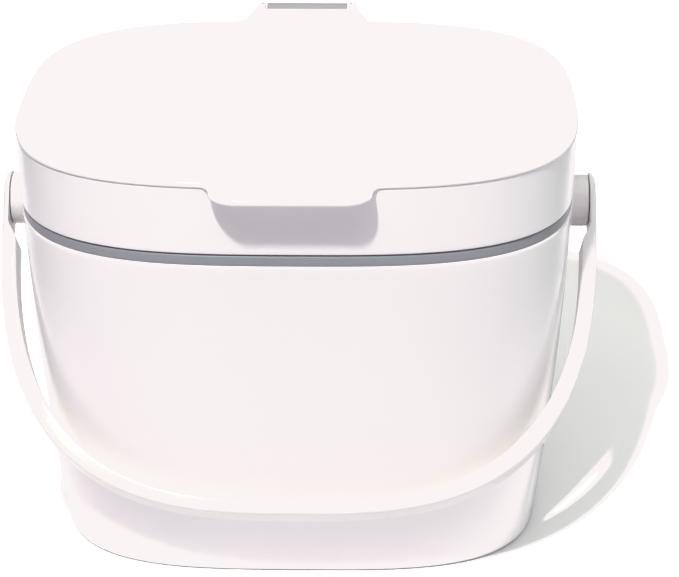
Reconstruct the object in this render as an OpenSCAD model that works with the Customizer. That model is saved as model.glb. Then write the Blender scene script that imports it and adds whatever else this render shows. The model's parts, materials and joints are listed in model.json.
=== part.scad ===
// Counter-top compost caddy: tapered bucket with a grey rim collar, a hinged
// two-shell lid with a finger lip, and a swinging bail handle.
// Frame: origin at the centre of the flat underside, +Z up, front (finger lip) towards -Y.

/* [Bucket] */
// Half-width of the bucket at the base
base_a = 87; // [84:0.2:89]
// Half-depth of the bucket at the base
base_b = 67.6; // [65:0.2:68]
// Squareness of the base outline (superellipse exponent)
base_n = 3.4; // [3:0.05:3.8]
// Height of the bucket up to the underside of the grey collar
bucket_h = 124.8; // [118:0.2:130]
// Outward bow of the bucket wall half-way up
bow = 1.35; // [0:0.05:1.5]
// Wall thickness of the bucket
wall = 2.4; // [2:0.1:2.8]
// Thickness of the bucket floor
floor_t = 3.2; // [2.4:0.1:4]

/* [Rim collar] */
// Height of the visible grey band
collar_h = 3.6; // [3:0.1:4.5]
// Height of the spigot that stands up inside the lid
spigot_h = 2.2; // [1.4:0.1:2.3]

/* [Lid] */
// Half-width of the lid at its top edge
lid_a = 97; // [95:0.2:98]
// Half-depth of the lid at its top edge
lid_b = 79; // [77:0.2:80]
// Squareness of the lid outline (superellipse exponent)
lid_n = 3.16; // [3:0.02:3.4]
// Open seam between collar and lid skirt
lid_gap = 0.6; // [0.4:0.1:1]
// Height of the lid skirt
skirt_h = 23.3; // [21:0.1:26]
// Thickness of the top plate
plate_t = 2.3; // [1.8:0.1:2.8]
// Step of the skirt in from the edge of the top plate
skirt_step = 0.45; // [0.3:0.05:0.8]
// Wall thickness of the lid skirt
skirt_wall = 2.2; // [1.8:0.1:2.4]

/* [Finger lip] */
// Half-width of the finger lip
lip_hw = 26.2; // [22:0.2:27]
// Reach of the lip in front of the top plate
lip_out = 11.6; // [8:0.2:13]

/* [Hinge] */
// Distance of the hinge axis behind the back edge of the lid
hinge_back = 20.2; // [19:0.2:20.8]
// Radius of the hinge barrel
barrel_r = 4.4; // [4:0.1:4.6]
// Half-length of the grey hinge barrel
barrel_hl = 15.8; // [14:0.2:17]
// Radius of the hinge pin
hinge_pin_r = 1.5; // [1.2:0.1:1.8]

/* [Bail handle] */
// Reach of the bail from its pivot axis to the outer face of its bow
bail_r = 116.7; // [116.7:0.1:120]
// Angle of the hanging bail forward of straight down
bail_lean = 44; // [44:0.2:46]
// Width of the strap, seen from the side
strap_w = 12.4; // [10:0.2:12.6]
// Thickness of the strap
strap_t = 5.3; // [4.4:0.1:5.3]
// Half-width of the bail over its end plates
bail_hx = 105.8; // [105.4:0.1:108]
// Thickness of each end plate
end_t = 2.5; // [2.3:0.1:2.7]
// Radius of each end plate
end_r = 9.9; // [9.6:0.1:10.4]
// Height of the pivot axis above the floor
pivot_z = 114.5; // [114:0.1:115.2]
// Radius of each pivot hub on the bucket
hub_r = 9.3; // [8.8:0.1:9.4]
// Radius of each pivot pin
pivot_pin_r = 3; // [2.5:0.1:3.4]

/* [Hidden] */
N = 96;                                   // points round an outline
fit = 0.05;                               // clearance between pieces of one body, and of the pins
rim_a = lid_a - 0.6;                      // bucket outline under the collar
rim_b = lid_b - 0.6;
collar_top = bucket_h + collar_h;
skirt_z = collar_top + lid_gap;           // underside of the lid skirt
plate_z = skirt_z + skirt_h + 0.15;       // underside of the top plate
top_z = plate_z + plate_t;
liner_z = collar_top + spigot_h + 1.3;    // underside of the lid liner
hinge_y = lid_b + hinge_back;
hinge_z = top_z - barrel_r - 0.2;
bail_in = bail_hx - end_t;                // inner face of the end plates
hub_out = bail_in - 0.35;                 // outer face of the hubs
white = [0.96, 0.95, 0.94];
grey = [0.55, 0.55, 0.58];
steel = [0.78, 0.78, 0.8];

// One outline point: a superellipse with half-axes a and b
function sgn(v) = v < 0 ? -1 : 1;
function sp(a, b, n, t) = [a * sgn(cos(t)) * pow(abs(cos(t)), 2 / n),
                           b * sgn(sin(t)) * pow(abs(sin(t)), 2 / n)];
function outline(a, b, n) = [for (i = [0:N - 1]) sp(a, b, n, 360 * (i + 0.5) / N)];
function ring(a, b, n, z) = [for (p = outline(a, b, n)) [p[0], p[1], z]];

// Bucket wall at height z, moved in by d
function u(z) = z / bucket_h;
function wa(z) = base_a + (rim_a - base_a) * u(z) + bow * 4 * u(z) * (1 - u(z));
function wb(z) = base_b + (rim_b - base_b) * u(z) + bow * 4 * u(z) * (1 - u(z));
function wn(z) = base_n + (lid_n - base_n) * u(z);
function wring(z, d) = ring(wa(z) - d, wb(z) - d, wn(z), z);

// Skin through a stack of rings; capped, or closed on itself when loop is true
module skin(rings, loop = false) {
    m = len(rings);
    k = len(rings[0]);
    pts = [for (r = rings) each r];
    sides = [for (j = [0:(loop ? m - 1 : m - 2)]) for (i = [0:k - 1])
        let (a = j * k + i, b = ((j + 1) % m) * k + i,
             c = ((j + 1) % m) * k + (i + 1) % k, d = j * k + (i + 1) % k)
        each [[a, b, c], [a, c, d]]];
    caps = loop ? [] : [[for (i = [0:k - 1]) i], [for (i = [k - 1:-1:0]) (m - 1) * k + i]];
    polyhedron(points = pts, faces = concat(sides, caps), convexity = 8);
}

// Straight ring between two outlines, d1 and d2 in from the lid edge
module band(d1, d2, z, h, n = lid_n)
    translate([0, 0, z]) linear_extrude(h, convexity = 6) difference() {
        polygon(outline(lid_a - d1, lid_b - d1, n));
        polygon(outline(lid_a - d2, lid_b - d2, n));
    }

// Bar along X with its section drawn in the Y-Z plane
module bar_x(x0, x1) translate([x0, 0, 0]) rotate([90, 0, 90]) linear_extrude(x1 - x0, convexity = 6) children();
module rod_x(x0, x1, r) translate([x0, 0, 0]) rotate([0, 90, 0]) cylinder(h = x1 - x0, r = r, $fn = 72);

module bucket() color(white) difference() {
    union() {
        // flat foot, then the skin: up the outside, over the rim tongue, down the inside
        linear_extrude(0.8) polygon(outline(base_a - 0.9, base_b - 0.9, base_n));
        skin(concat(
            [wring(0.4, 1), wring(0.8, 0.5), wring(1.4, 0.2), wring(2.4, 0)],
            [for (z = [18, 36, 54, 72, 90, 107]) wring(z, 0)],
            [wring(bucket_h - 0.4, 0), wring(bucket_h, 0.3), wring(bucket_h, 1.5),
             ring(rim_a - 1.5, rim_b - 1.5, lid_n, bucket_h + 2.2),
             ring(rim_a - 3.2, rim_b - 3.2, lid_n, bucket_h + 2.2),
             wring(bucket_h - 3.2, 3), wring(bucket_h - 5.4, wall)],
            [for (z = [100, 80, 60, 40, 22]) wring(z, wall)],
            [wring(14, wall + 0.5), wring(8, wall + 2.6), wring(5, wall + 5.4), wring(floor_t + 0.5, wall + 9),
             wring(floor_t, wall + 14)]));
        // sockets that carry the two hubs
        for (s = [-1, 1]) translate([0, 0, pivot_z])
            rod_x(s > 0 ? rim_a - 4.6 : -rim_a + 1.2, s > 0 ? rim_a - 1.2 : -rim_a + 4.6, hub_r - 1.6);
    }
    for (s = [-1, 1]) translate([0, 0, pivot_z]) {
        rod_x(s > 0 ? rim_a - 3 : -rim_a - 9, s > 0 ? rim_a + 9 : -rim_a + 3, 5.5 + fit);
        rod_x(s > 0 ? rim_a - 1.25 : -rim_a - 9, s > 0 ? rim_a + 9 : -rim_a + 1.25, hub_r + fit);
    }
}

// Section of the collar as [distance in from the bucket outline, height above bucket_h]
collar_sec = [[0.3, 0.05], [0.3, collar_h - 0.5], [0.5, collar_h - 0.15], [0.9, collar_h], [3.9, collar_h],
              [3.9, collar_h + spigot_h - 0.3], [4.2, collar_h + spigot_h], [5, collar_h + spigot_h],
              [5.3, collar_h + spigot_h - 0.3], [5.3, -2.6], [3.3, -2.9], [3.3, 2.3], [1.4, 2.3], [1.4, 0.05]];
module rim_collar() color(grey)
    skin([for (s = collar_sec) ring(rim_a - s[0], rim_b - s[0], lid_n, bucket_h + s[1])], loop = true);

// Side profile of the bracket: from the collar, out below the lid and up to the barrel
bracket_sec = [[rim_b - 0.25, bucket_h + 0.1], [rim_b + 5, bucket_h + 0.4], [rim_b + 11.5, bucket_h + 3], [hinge_y - 2.6, bucket_h + 9.4],
               [hinge_y + 2.2, hinge_z - 9], [hinge_y + barrel_r - 0.3, hinge_z - 2], [hinge_y, hinge_z],
               [hinge_y - barrel_r + 0.2, hinge_z - 1], [hinge_y - barrel_r - 0.4, hinge_z - 6.4], [hinge_y - 9, bucket_h + 12.6],
               [rim_b + 8, bucket_h + 7.4], [rim_b + 3.6, bucket_h + 5], [rim_b + 1.2, bucket_h + 4.2], [rim_b - 0.25, bucket_h + 3.2]];
module hinge_bracket() color(grey) difference() {
    union() {
        bar_x(-barrel_hl, barrel_hl) polygon(bracket_sec);
        translate([0, hinge_y, hinge_z]) rod_x(-barrel_hl, barrel_hl, barrel_r);
    }
    // hollow underside between the ribs
    for (x = [-barrel_hl + 2, -barrel_hl / 3 + 1, barrel_hl / 3 + 1]) bar_x(x, x + 2 * barrel_hl / 3 - 3)
        polygon([[rim_b + 6, bucket_h - 1], [rim_b + 6.4, bucket_h + 3.4], [hinge_y - 8.6, bucket_h + 8.4], [hinge_y - 3.4, hinge_z - 9.6],
                 [hinge_y + 6, hinge_z - 11], [hinge_y + 6, bucket_h - 1]]);
    translate([0, hinge_y, hinge_z]) rod_x(-barrel_hl - 1, barrel_hl + 1, hinge_pin_r + fit);
}

// Hub with a stepped bore for the handle pin, s = -1 left, 1 right
module hub(s) color(white) translate([0, 0, pivot_z]) mirror([s < 0 ? 1 : 0, 0, 0]) difference() {
    union() {
        rod_x(rim_a - 1.2, hub_out, hub_r);
        rod_x(rim_a - 2.95, rim_a, 5.5);
    }
    rod_x(rim_a - 4, rim_a + 1.8, 4.2);
    rod_x(rim_a, hub_out + 1, pivot_pin_r + fit);
}
module pivot_hub_left() hub(-1);
module pivot_hub_right() hub(1);

// Lip outline: straight front, round corners, concave fillets into the lid edge
function arc(cx, cy, r, a0, a1, n = 8) = [for (i = [0:n]) let (t = a0 + (a1 - a0) * i / n) [cx + r * cos(t), cy + r * sin(t)]];
lip_y = -lid_b - lip_out;
lip_half = concat(arc(lip_hw - 9.1, lip_y + 9.1, 9.1, -90, 0), arc(lip_hw + 3, lip_y + 9.1, 3, 180, 90, 5));
lip_poly = concat([for (p = lip_half) p], [[lip_hw + 3, -lid_b + 12], [-lip_hw - 3, -lid_b + 12]],
                  [for (i = [len(lip_half) - 1:-1:0]) [-lip_half[i][0], lip_half[i][1]]]);
// Tongue outline, half of it
tongue_half = concat([[27.5, lid_b - 3]], arc(27.5, lid_b + 3, 4.4, -90, -160, 5), arc(16, hinge_y - 1.6, 3.2, 5, 70, 5), [[16.2, hinge_y + 1.6]]);
tongue_poly = concat([for (p = tongue_half) p], [for (i = [len(tongue_half) - 1:-1:0]) [-tongue_half[i][0], tongue_half[i][1]]]);
module lid_top() color(white) difference() {
    union() {
        skin([ring(lid_a - 0.5, lid_b - 0.5, lid_n, plate_z), ring(lid_a - 0.12, lid_b - 0.12, lid_n, plate_z + 0.15),
              ring(lid_a, lid_b, lid_n, plate_z + 0.45), ring(lid_a, lid_b, lid_n, top_z - 1.05),
              ring(lid_a - 0.3, lid_b - 0.3, lid_n, top_z - 0.4), ring(lid_a - 1.1, lid_b - 1.1, lid_n, top_z)]);
        // finger lip, dropping a little towards the front
        intersection() {
            translate([0, 0, plate_z - 2]) linear_extrude(plate_t + 4) polygon(lip_poly);
            bar_x(-40, 40) polygon([[-lid_b + 9, plate_z], [-lid_b + 9, top_z - 0.1], [-lid_b + 1.2, top_z - 0.1], [lip_y + 1.2, top_z - 0.9],
                                    [lip_y, top_z - 1.7], [lip_y, plate_z - 0.4], [lip_y + 0.9, plate_z - 0.9], [-lid_b - 1, plate_z - 0.05]]);
        }
        // hinge tongue with its two ears
        translate([0, 0, plate_z]) linear_extrude(plate_t - 0.1) polygon(tongue_poly);
        for (s = [-1, 1]) translate([0, hinge_y, hinge_z]) {
            rod_x(s > 0 ? 16.2 : -19.2, s > 0 ? 19.2 : -16.2, barrel_r + 0.1);
            bar_x(s > 0 ? 16.2 : -19.2, s > 0 ? 19.2 : -16.2)
                polygon([[-13, plate_z - hinge_z + 1], [-3.4, -3], [barrel_r - 0.6, 1.6], [barrel_r - 2.2, top_z - hinge_z - 0.8], [-4, top_z - hinge_z - 0.4], [-13, top_z - hinge_z - 0.4]]);
        }
    }
    // gap for the barrel, and the bores for the pin
    translate([0, hinge_y, hinge_z]) {
        rod_x(-16.2, 16.2, barrel_r + 0.55);
        translate([-16.2, -6.3, -8]) cube([32.4, 16, 20]);
        rod_x(-17.9, 17.9, hinge_pin_r + 0.01);
    }
}

module lid_skirt() color(white) band(skirt_step, skirt_step + skirt_wall, skirt_z, skirt_h);

module lid_liner() color(white) union() {
    translate([0, 0, liner_z]) linear_extrude(1.8) polygon(outline(lid_a - skirt_step - skirt_wall - fit, lid_b - skirt_step - skirt_wall - fit, lid_n));
    band(skirt_step + skirt_wall + fit, skirt_step + skirt_wall + 1.9, liner_z, plate_z - fit - liner_z);
}

// Soft seal that sits on the spigot when the lid is shut
module lid_gasket() color(grey) band(4.4, 6.2, liner_z - 1.25, 1.2);

module hinge_pin() color(steel) translate([0, hinge_y, hinge_z]) rod_x(-17.85, 17.85, hinge_pin_r);

// Bow of the bail in its own plane: x across, s down from the pivot
function bow_pt(hx, r, t) = sp(hx, r, 2.9, t);
bow_in_r = bail_r - strap_t;
bow_in_x = bail_hx - strap_t - 0.1;
inner_bow = [for (i = [0:60]) bow_pt(bow_in_x, bow_in_r, 8 + 164 * i / 60)];
outer_bow = [for (i = [0:72]) bow_pt(bail_hx, bail_r, 180 - 180 * i / 72)];
bow_poly = concat(
    [[bail_hx, -end_r - 1], [bail_in, -end_r - 1], [bail_in, 12], [bow_in_x, 18]],
    [for (p = inner_bow) if (p[1] > 18) p],
    [[-bow_in_x, 18], [-bail_in, 12], [-bail_in, -end_r - 1], [-bail_hx, -end_r - 1]],
    outer_bow);
side_poly = [[-strap_w / 2, bail_r + 1], [-strap_w / 2, 26], [-end_r * 0.97, 2.4], [end_r * 0.97, 2.4], [strap_w / 2, 26], [strap_w / 2, bail_r + 1]];
// from the hanging plane (x, s) to the object: s runs down and forward
module hang() translate([0, 0, pivot_z]) rotate([-bail_lean, 0, 0]) rotate([-90, 0, 0]) children();
module handle() color(white) difference() {
    hang() intersection() {
        translate([0, 0, -end_r - 1]) linear_extrude(2 * end_r + 2, convexity = 6) polygon(bow_poly);
        union() {
            rotate([90, 0, 90]) translate([0, 0, -bail_hx - 1]) linear_extrude(2 * bail_hx + 2) polygon([for (p = side_poly) [p[1], p[0]]]);
            rod_x(-bail_hx - 1, bail_hx + 1, end_r);
        }
    }
    translate([0, 0, pivot_z]) for (s = [-1, 1]) {
        rod_x(s > 0 ? bail_in - 1 : -bail_hx - 1, s > 0 ? bail_hx + 1 : -bail_in + 1, pivot_pin_r + 0.01);
        rod_x(s > 0 ? bail_hx - 1.2 : -bail_hx - 1, s > 0 ? bail_hx + 1 : -bail_hx + 1.2, 5.2 + 0.01);
    }
}

// Pin: flush head, shaft, and a snap bead behind the step of the hub bore
module pivot_pin(s) color(white) translate([0, 0, pivot_z]) mirror([s < 0 ? 1 : 0, 0, 0]) {
    rod_x(bail_hx - 1.2, bail_hx - 0.2, 5.2);
    rod_x(rim_a - 1, bail_hx - 1.1, pivot_pin_r);
    rod_x(rim_a - 0.2, rim_a + 1.4, pivot_pin_r + 0.7);
}
module handle_pin_left() pivot_pin(-1);
module handle_pin_right() pivot_pin(1);

bucket();
rim_collar();
hinge_bracket();
pivot_hub_left();
pivot_hub_right();
lid_top();
lid_skirt();
lid_liner();
lid_gasket();
hinge_pin();
handle();
handle_pin_left();
handle_pin_right();
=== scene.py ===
# Looks for the compost caddy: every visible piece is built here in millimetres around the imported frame.
import json
import math

import bmesh
import bpy
import numpy as np
from mathutils import Matrix, Vector
from mathutils.geometry import delaunay_2d_cdt

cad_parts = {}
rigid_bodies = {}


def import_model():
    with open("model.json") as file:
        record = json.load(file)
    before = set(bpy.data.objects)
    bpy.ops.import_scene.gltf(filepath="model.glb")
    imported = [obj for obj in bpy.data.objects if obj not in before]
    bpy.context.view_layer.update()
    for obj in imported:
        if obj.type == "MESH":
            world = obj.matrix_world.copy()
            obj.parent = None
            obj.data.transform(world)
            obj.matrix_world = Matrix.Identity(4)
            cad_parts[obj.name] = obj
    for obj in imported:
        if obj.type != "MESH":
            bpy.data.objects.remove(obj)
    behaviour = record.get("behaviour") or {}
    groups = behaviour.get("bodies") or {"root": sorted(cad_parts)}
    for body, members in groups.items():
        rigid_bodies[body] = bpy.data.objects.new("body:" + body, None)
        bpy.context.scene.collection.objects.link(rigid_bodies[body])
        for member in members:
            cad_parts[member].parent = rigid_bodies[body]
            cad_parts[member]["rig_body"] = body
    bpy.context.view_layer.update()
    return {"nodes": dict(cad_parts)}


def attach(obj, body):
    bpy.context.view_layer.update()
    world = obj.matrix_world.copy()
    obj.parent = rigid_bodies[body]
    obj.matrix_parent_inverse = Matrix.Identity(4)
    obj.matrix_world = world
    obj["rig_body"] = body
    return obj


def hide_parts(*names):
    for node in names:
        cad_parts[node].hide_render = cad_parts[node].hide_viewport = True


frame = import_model()
COL = bpy.context.scene.collection
MM = 0.001

# ------------------------------------------------------------------ sizes, in mm, as in the construction
BASE_A, BASE_B, BASE_N = 87.0, 67.6, 3.4
BUCKET_H, BOW, WALL, FLOOR_T = 124.8, 1.35, 2.4, 3.2
COLLAR_H, SPIGOT_H = 3.6, 2.2
LID_A, LID_B, LID_N = 97.0, 79.0, 3.16
SKIRT_STEP, SKIRT_WALL = 0.45, 2.2
RIM_A, RIM_B = LID_A - 0.6, LID_B - 0.6
COLLAR_TOP = BUCKET_H + COLLAR_H
SKIRT_Z = COLLAR_TOP + 0.6
PLATE_Z = SKIRT_Z + 23.3 + 0.15
TOP_Z = PLATE_Z + 2.3
LINER_Z = COLLAR_TOP + SPIGOT_H + 1.3
LIP_HW, LIP_Y = 26.2, -LID_B - 11.6
HINGE_Y = LID_B + 20.2
HINGE_Z = TOP_Z - 4.4 - 0.2
BAIL_R, BAIL_LEAN, STRAP_W, STRAP_T, BAIL_HX = 116.7, 44.0, 12.4, 5.3, 105.8
END_T, END_R, PIVOT_Z, HUB_R, PIN_R = 2.5, 9.9, 114.5, 9.3, 3.0
BAIL_IN = BAIL_HX - END_T
HUB_OUT = BAIL_IN - 0.35


# ------------------------------------------------------------------ helpers
def smooth(t):
    t = np.clip(t, 0.0, 1.0)
    return t * t * (3 - 2 * t)


def resample(pts, frac):
    """Points of the closed polyline pts at the given shares of its length."""
    q = np.vstack([pts, pts[:1]])
    s = np.concatenate([[0], np.cumsum(np.hypot(*np.diff(q, axis=0).T))])
    s /= s[-1]
    return np.stack([np.interp(frac, s, q[:, 0]), np.interp(frac, s, q[:, 1])], 1)


_T = np.linspace(0, 2 * np.pi, 24001)[:-1]
_C, _S = np.cos(_T), np.sin(_T)


def outline(a, b, n, frac):
    e = 2.0 / n
    pts = np.stack([a * np.sign(_C) * np.abs(_C) ** e, b * np.sign(_S) * np.abs(_S) ** e], 1)
    return resample(pts, frac)


def at_z(xy, z):
    return np.column_stack([xy, np.full(len(xy), z) if np.isscalar(z) else z])


def grid_faces(m, k, closed_rows=True, loop=False, base=0):
    """Quads through m rings of k points each."""
    f = []
    for j in range(m if loop else m - 1):
        for i in range(k if closed_rows else k - 1):
            a, b = base + j * k + i, base + ((j + 1) % m) * k + i
            c, d = base + ((j + 1) % m) * k + (i + 1) % k, base + j * k + (i + 1) % k
            f.append((a, d, c, b))
    return f


def piece(name, verts, faces, body, replaces=(), sharp=40.0, weld=0.0):
    """A closed mesh in mm becomes a smooth-shaded object that rides on its body."""
    me = bpy.data.meshes.new(name)
    me.from_pydata([tuple(v) for v in np.asarray(verts, float) * MM], [], [tuple(int(i) for i in f) for f in faces])
    bm = bmesh.new()
    bm.from_mesh(me)
    if weld:
        bmesh.ops.remove_doubles(bm, verts=bm.verts, dist=weld * MM)
    bmesh.ops.dissolve_degenerate(bm, edges=bm.edges, dist=1e-7)
    bmesh.ops.recalc_face_normals(bm, faces=bm.faces)
    bm.to_mesh(me)
    bm.free()
    o = bpy.data.objects.new(name, me)
    COL.objects.link(o)
    finish_piece(o, body, replaces, sharp)
    return o


def finish_piece(o, body, replaces=(), sharp=40.0):
    o.data.shade_smooth()
    o.data.set_sharp_from_angle(angle=math.radians(sharp))
    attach(o, body)
    if replaces:
        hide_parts(*replaces)


def apply_modifiers(o):
    dg = bpy.context.evaluated_depsgraph_get()
    me = bpy.data.meshes.new_from_object(o.evaluated_get(dg))
    o.modifiers.clear()
    o.data = me


def boolean(o, tool, operation):
    m = o.modifiers.new("cut", "BOOLEAN")
    m.operation, m.solver, m.object = operation, "EXACT", tool
    apply_modifiers(o)
    bpy.data.objects.remove(tool)


def plain(name, verts, faces, weld=0.0):
    """A scratch mesh object for a boolean."""
    me = bpy.data.meshes.new(name)
    me.from_pydata([tuple(v) for v in np.asarray(verts, float) * MM], [], [tuple(int(i) for i in f) for f in faces])
    bm = bmesh.new()
    bm.from_mesh(me)
    if weld:
        bmesh.ops.remove_doubles(bm, verts=bm.verts, dist=weld * MM)
    bmesh.ops.recalc_face_normals(bm, faces=bm.faces)
    bm.to_mesh(me)
    bm.free()
    o = bpy.data.objects.new(name, me)
    COL.objects.link(o)
    return o


def lathe_x(profile, k=96, centre=(0.0, 0.0)):
    """Closed section [(x, r)] turned round an axis along X through (y, z) = centre; r of 0 closes an end."""
    prof = np.asarray(profile, float)
    t = 2 * np.pi * np.arange(k) / k
    rings = [np.column_stack([np.full(k, x), centre[0] + r * np.cos(t), centre[1] + r * np.sin(t)]) for x, r in prof]
    return np.vstack(rings), len(prof), k


def arc(cx, cy, r, a0, a1, n=8):
    t = np.radians(np.linspace(a0, a1, n + 1))
    return [(cx + r * math.cos(v), cy + r * math.sin(v)) for v in t]


def wa(z):
    u = z / BUCKET_H
    return BASE_A + (RIM_A - BASE_A) * u + BOW * 4 * u * (1 - u)


def wb(z):
    u = z / BUCKET_H
    return BASE_B + (RIM_B - BASE_B) * u + BOW * 4 * u * (1 - u)


def wn(z):
    return BASE_N + (LID_N - BASE_N) * z / BUCKET_H


def dense_shares(count, gain, width, length=560.0):
    """Shares of the outline's length, closer together near its two ends on the X axis."""
    f = np.linspace(0, 1, 8001)
    d = np.minimum.reduce([np.abs(f), np.abs(f - 0.5), np.abs(f - 1)]) * length
    rho = 1 + gain * np.exp(-((d / width) ** 2))
    c = np.concatenate([[0], np.cumsum((rho[1:] + rho[:-1]) / 2)])
    return np.interp(np.arange(count) / count, c / c[-1], f)


# ------------------------------------------------------------------ bucket
def make_bucket():
    frac = dense_shares(456, 2.0, 12.0)
    k = len(frac)
    rings = []

    def wr(z, d, dz=0.0):
        rings.append(at_z(outline(wa(z) - d, wb(z) - d, wn(z), frac), z + dz))

    # underside: a shallow panel inside the foot ring
    rings.append(at_z(outline(BASE_A - 9.0, BASE_B - 9.0, BASE_N, frac), 0.5))
    rings.append(at_z(outline(BASE_A - 8.4, BASE_B - 8.4, BASE_N, frac), 0.45))
    rings.append(at_z(outline(BASE_A - 7.8, BASE_B - 7.8, BASE_N, frac), 0.1))
    rings.append(at_z(outline(BASE_A - 7.2, BASE_B - 7.2, BASE_N, frac), 0.0))
    rings.append(at_z(outline(BASE_A - 1.9, BASE_B - 1.9, BASE_N, frac), 0.0))
    for q in np.radians([12, 26, 40, 54, 68, 80, 90]):
        z = 2.3 * (1 - math.cos(q))
        rings.append(at_z(outline(wa(z) - 1.6 * (1 - math.sin(q)), wb(z) - 1.6 * (1 - math.sin(q)), wn(z), frac), z))
    for z in [3.2, 6, 12, 20, 28, 36, 44, 52, 60, 68, 76, 84, 92, 99, 104, 108, 112, 116, 120, 123, 124.1]:
        wr(z, 0)
    for q in np.radians([30, 60, 90]):
        wr(124.1 + 0.7 * math.sin(q), 0.7 * (1 - math.cos(q)))
    wr(BUCKET_H, 1.5)
    for d, z in [(1.5, 2.0), (1.7, 2.2), (3.0, 2.2), (3.2, 2.0)]:
        rings.append(at_z(outline(RIM_A - d, RIM_B - d, LID_N, frac), BUCKET_H + z))
    wr(BUCKET_H - 3.2, 3.0)
    wr(BUCKET_H - 5.4, WALL)
    for z in np.concatenate([np.arange(118.6, 105.0, -0.8), np.arange(103, 20, -8.0)]):
        wr(z, WALL)
    # floor fillet
    for q in np.radians(np.linspace(0, 90, 14)):
        r_in, r_up = 13.0, 12.5
        wr(FLOOR_T + r_up * (1 - math.sin(q)), WALL + 0.2 + r_in * (1 - math.cos(q)))
    v = np.vstack(rings)
    m = len(rings)
    # the two hub sockets stand a little proud inside
    c = v.reshape(m, k, 3)
    inner = np.arange(m)[:, None] >= m - 46
    r = np.hypot(c[:, :, 1], c[:, :, 2] - PIVOT_Z)
    push = 1.9 * smooth((8.9 - r) / 1.7) * (inner & (np.abs(c[:, :, 0]) > 80) & (c[:, :, 2] < 122))
    c[:, :, 0] -= np.sign(c[:, :, 0]) * push
    v = c.reshape(-1, 3)
    f = grid_faces(m, k) + [tuple(range(k)), tuple((m - 1) * k + i for i in range(k - 1, -1, -1))]
    return piece("bucket_shell", v, f, "bin", ["bucket"])


# ------------------------------------------------------------------ grey collar
def make_collar():
    frac = np.arange(400) / 400
    s = [(0.5, 0.05), (0.36, 0.1), (0.3, 0.25), (0.3, 1.2), (0.3, 2.2), (0.3, 3.0)]
    s += [(0.3 + 0.55 * (1 - math.cos(q)), 3.05 + 0.55 * math.sin(q)) for q in np.radians([20, 40, 60, 80, 90])]
    s += [(2.2, 3.6), (3.5, 3.6), (3.75, 3.66), (3.88, 3.82), (3.9, 4.1), (3.9, 5.2), (3.98, 5.5), (4.2, 5.72), (4.5, 5.8), (4.8, 5.78),
          (5.1, 5.6), (5.27, 5.3), (5.3, 5.0), (5.3, 2.0), (5.3, -2.3), (5.15, -2.7), (4.8, -2.9), (3.7, -2.9), (3.4, -2.75), (3.3, -2.4),
          (3.3, 2.3), (1.4, 2.3), (1.4, 0.05)]
    rings = [at_z(outline(RIM_A - d, RIM_B - d, LID_N, frac), BUCKET_H + z) for d, z in s]
    return piece("rim_collar_band", np.vstack(rings), grid_faces(len(rings), len(frac), loop=True), "bin", ["rim_collar"])


# ------------------------------------------------------------------ lid skirt, liner and seal
def make_skirt():
    z0, z1 = SKIRT_Z, PLATE_Z - 0.15
    frac = np.arange(480) / 480
    o, i = SKIRT_STEP, SKIRT_STEP + SKIRT_WALL
    s = [(o + 0.6, z0), (o + 0.33, z0 + 0.05), (o + 0.14, z0 + 0.17), (o + 0.04, z0 + 0.34), (o, z0 + 0.6)]
    s += [(o, z) for z in np.linspace(z0 + 1.4, z1 - 1.3, 12)]
    s += [(o, z1 - 0.5), (o + 0.04, z1 - 0.3), (o + 0.14, z1 - 0.13), (o + 0.3, z1 - 0.03), (o + 0.5, z1)]
    s += [(i - 0.3, z1), (i, z1 - 0.3), (i, z1 - 6), (i, z0 + 6), (i, z0 + 0.3), (i - 0.3, z0)]
    rings = [at_z(outline(LID_A - d, LID_B - d, LID_N, frac), z) for d, z in s]
    return piece("lid_skirt_shell", np.vstack(rings), grid_faces(len(rings), len(frac), loop=True), "lid", ["lid_skirt"])


def make_liner():
    frac = np.arange(420) / 420
    g = SKIRT_STEP + SKIRT_WALL + 0.05
    z0, z1 = LINER_Z, PLATE_Z - 0.05
    s = [(9.2, z0 + 0.55), (8.4, z0 + 0.5), (7.6, z0 + 0.12), (7.0, z0), (1.3, z0), (0.85, z0 + 0.06), (0.4, z0 + 0.28), (0.1, z0 + 0.7), (0, z0 + 1.2),
         (0, 140), (0, z1 - 0.3), (0.3, z1), (1.6, z1), (1.85, z1 - 0.3), (1.85, z0 + 2.4), (2.4, z0 + 1.8)]
    rings = [at_z(outline(LID_A - g - d, LID_B - g - d, LID_N, frac), z) for d, z in s]
    m, k = len(rings), len(frac)
    f = grid_faces(m, k) + [tuple(range(k)), tuple((m - 1) * k + i for i in range(k - 1, -1, -1))]
    return piece("lid_liner_panel", np.vstack(rings), f, "lid", ["lid_liner"])


def make_gasket():
    frac = np.arange(360) / 360
    z0 = LINER_Z - 1.25
    c = [(4.42, 1.2), (4.4, 0.7), (4.45, 0.4), (4.62, 0.18), (4.9, 0.04), (5.3, 0.0), (5.7, 0.04), (5.98, 0.18), (6.15, 0.4), (6.2, 0.7), (6.18, 1.2)]
    rings = [at_z(outline(LID_A - d, LID_B - d, LID_N, frac), z0 + z) for d, z in c]
    return piece("lid_seal", np.vstack(rings), grid_faces(len(rings), len(frac), loop=True), "lid", ["lid_gasket"])


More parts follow.
